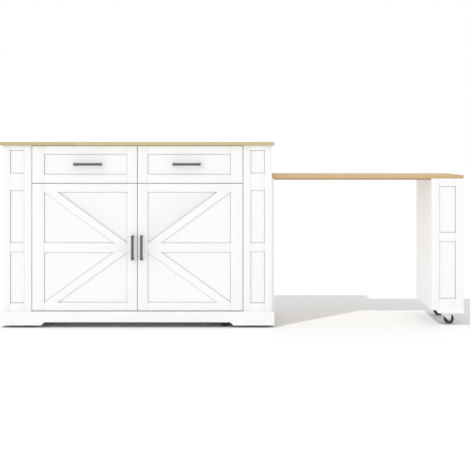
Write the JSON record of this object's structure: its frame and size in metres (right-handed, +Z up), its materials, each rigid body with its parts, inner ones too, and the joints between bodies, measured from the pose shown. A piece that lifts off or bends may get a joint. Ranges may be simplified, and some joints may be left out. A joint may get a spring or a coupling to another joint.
{
  "type": "extending kitchen island",
  "caption": "White frame-and-panel kitchen island on casters with drawers, braced doors and a wood-topped table that slides out of its side on a panelled leg.",
  "frame": {"origin": "on the floor, at the middle of the object's outline with the table pulled out", "axes": "+X along the front to the right, to the table's outer end; +Y from the front to the back; +Z up"},
  "size_m": [2.293, 0.488, 0.914],
  "materials": {
    "white_paint": "satin white paint",
    "oak_top": "light natural wood, matt oil",
    "runner_wood": "waxed hardwood",
    "birch": "pale plywood, clear lacquer",
    "gunmetal": "brushed dark grey",
    "steel": "nickel plated",
    "slide_steel": "zinc plated",
    "caster_metal": "white powder coat",
    "caster_wheel": "matt black"
  },
  "bodies": {
    "cabinet": {"worktop": "oak_top", "side_panel_left": "white_paint", "side_panel_right": "white_paint", "bay_partitions": "white_paint", "centre_partitions": "white_paint", "post_frame_left": "white_paint", "post_frame_right": "white_paint", "post_panels": "white_paint", "back_panel": "white_paint", "floor_panel": "white_paint", "table_deck": "white_paint", "drawer_deck": "white_paint", "cross_rails": "white_paint", "shelves": "white_paint", "plinth_front": "white_paint", "plinth_returns": "white_paint", "bearing_board": "white_paint", "shelf_pins": "steel", "hinge_arms": "steel", "slide_outer_members": "slide_steel", "caster_plates": "caster_metal"},
    "door_left": {"door_left_frame": "white_paint", "door_left_panel": "white_paint", "door_left_braces": "white_paint", "door_left_pull": "gunmetal", "door_left_cups": "steel"},
    "drawer_left": {"drawer_left_front": "white_paint", "drawer_left_box": "birch", "drawer_left_pull": "gunmetal", "drawer_left_inner_slides": "slide_steel"},
    "mid_slides_left": {"drawer_left_mid_slides": "slide_steel"},
    "door_right": {"door_right_frame": "white_paint", "door_right_panel": "white_paint", "door_right_braces": "white_paint", "door_right_pull": "gunmetal", "door_right_cups": "steel"},
    "drawer_right": {"drawer_right_front": "white_paint", "drawer_right_box": "birch", "drawer_right_pull": "gunmetal", "drawer_right_inner_slides": "slide_steel"},
    "mid_slides_right": {"drawer_right_mid_slides": "slide_steel"},
    "table": {"table_top": "oak_top", "table_runners": "runner_wood", "leg_frames": "white_paint", "leg_panels": "white_paint", "leg_sides": "white_paint", "leg_base": "white_paint", "leg_caster_plates": "caster_metal"},
    "fork_front_left": {"fork_front_left": "caster_metal"},
    "wheel_front_left": {"wheel_front_left": "caster_wheel"},
    "fork_front_right": {"fork_front_right": "caster_metal"},
    "wheel_front_right": {"wheel_front_right": "caster_wheel"},
    "fork_rear_left": {"fork_rear_left": "caster_metal"},
    "wheel_rear_left": {"wheel_rear_left": "caster_wheel"},
    "fork_rear_right": {"fork_rear_right": "caster_metal"},
    "wheel_rear_right": {"wheel_rear_right": "caster_wheel"},
    "fork_leg_front": {"fork_leg_front": "caster_metal"},
    "wheel_leg_front": {"wheel_leg_front": "caster_wheel"},
    "fork_leg_rear": {"fork_leg_rear": "caster_metal"},
    "wheel_leg_rear": {"wheel_leg_rear": "caster_wheel"}
  },
  "joints": [
    {"name": "door_left_hinge", "type": "hinge", "parent": "cabinet", "child": "door_left", "pos_m": [-0.9905, -0.214, 0.396], "axis": [0, 0, -1], "range_deg": [0, 105]},
    {"name": "door_right_hinge", "type": "hinge", "parent": "cabinet", "child": "door_right", "pos_m": [0.0475, -0.214, 0.396], "axis": [0, 0, 1], "range_deg": [0, 105]},
    {"name": "drawer_left_slide", "type": "slide", "parent": "cabinet", "child": "drawer_left", "axis": [0, -1, 0], "range_m": [0, 0.36]},
    {"name": "mid_left_slide", "type": "slide", "parent": "cabinet", "child": "mid_slides_left", "axis": [0, -1, 0], "range_m": [0, 0.18]},
    {"name": "drawer_right_slide", "type": "slide", "parent": "cabinet", "child": "drawer_right", "axis": [0, -1, 0], "range_m": [0, 0.36]},
    {"name": "mid_right_slide", "type": "slide", "parent": "cabinet", "child": "mid_slides_right", "axis": [0, -1, 0], "range_m": [0, 0.18]},
    {"name": "table_slide", "type": "slide", "parent": "cabinet", "child": "table", "axis": [-1, 0, 0], "range_m": [0, 0.777]},
    {"name": "swivel_front_left", "type": "hinge", "parent": "cabinet", "child": "fork_front_left", "pos_m": [-1.0315, -0.163, 0.06], "axis": [0, 0, 1], "continuous": true},
    {"name": "roll_front_left", "type": "hinge", "parent": "fork_front_left", "child": "wheel_front_left", "pos_m": [-1.0095, -0.163, 0.025], "axis": [0, 1, 0], "continuous": true},
    {"name": "swivel_front_right", "type": "hinge", "parent": "cabinet", "child": "fork_front_right", "pos_m": [-0.0615, -0.163, 0.06], "axis": [0, 0, 1], "continuous": true},
    {"name": "roll_front_right", "type": "hinge", "parent": "fork_front_right", "child": "wheel_front_right", "pos_m": [-0.0395, -0.163, 0.025], "axis": [0, 1, 0], "continuous": true},
    {"name": "swivel_rear_left", "type": "hinge", "parent": "cabinet", "child": "fork_rear_left", "pos_m": [-1.0315, 0.181, 0.06], "axis": [0, 0, 1], "continuous": true},
    {"name": "roll_rear_left", "type": "hinge", "parent": "fork_rear_left", "child": "wheel_rear_left", "pos_m": [-1.0095, 0.181, 0.025], "axis": [0, 1, 0], "continuous": true},
    {"name": "swivel_rear_right", "type": "hinge", "parent": "cabinet", "child": "fork_rear_right", "pos_m": [-0.0615, 0.181, 0.06], "axis": [0, 0, 1], "continuous": true},
    {"name": "roll_rear_right", "type": "hinge", "parent": "fork_rear_right", "child": "wheel_rear_right", "pos_m": [-0.0395, 0.181, 0.025], "axis": [0, 1, 0], "continuous": true},
    {"name": "swivel_leg_front", "type": "hinge", "parent": "table", "child": "fork_leg_front", "pos_m": [1.0645, -0.106, 0.06], "axis": [0, 0, 1], "continuous": true},
    {"name": "roll_leg_front", "type": "hinge", "parent": "fork_leg_front", "child": "wheel_leg_front", "pos_m": [1.0865, -0.106, 0.025], "axis": [0, 1, 0], "continuous": true},
    {"name": "swivel_leg_rear", "type": "hinge", "parent": "table", "child": "fork_leg_rear", "pos_m": [1.0645, 0.14, 0.06], "axis": [0, 0, 1], "continuous": true},
    {"name": "roll_leg_rear", "type": "hinge", "parent": "fork_leg_rear", "child": "wheel_leg_rear", "pos_m": [1.0865, 0.14, 0.025], "axis": [0, 1, 0], "continuous": true}
  ],
  "couplings": [
    {"joint": "mid_left_slide", "follows": "drawer_left_slide", "ratio": 0.5},
    {"joint": "mid_right_slide", "follows": "drawer_right_slide", "ratio": 0.5}
  ]
}
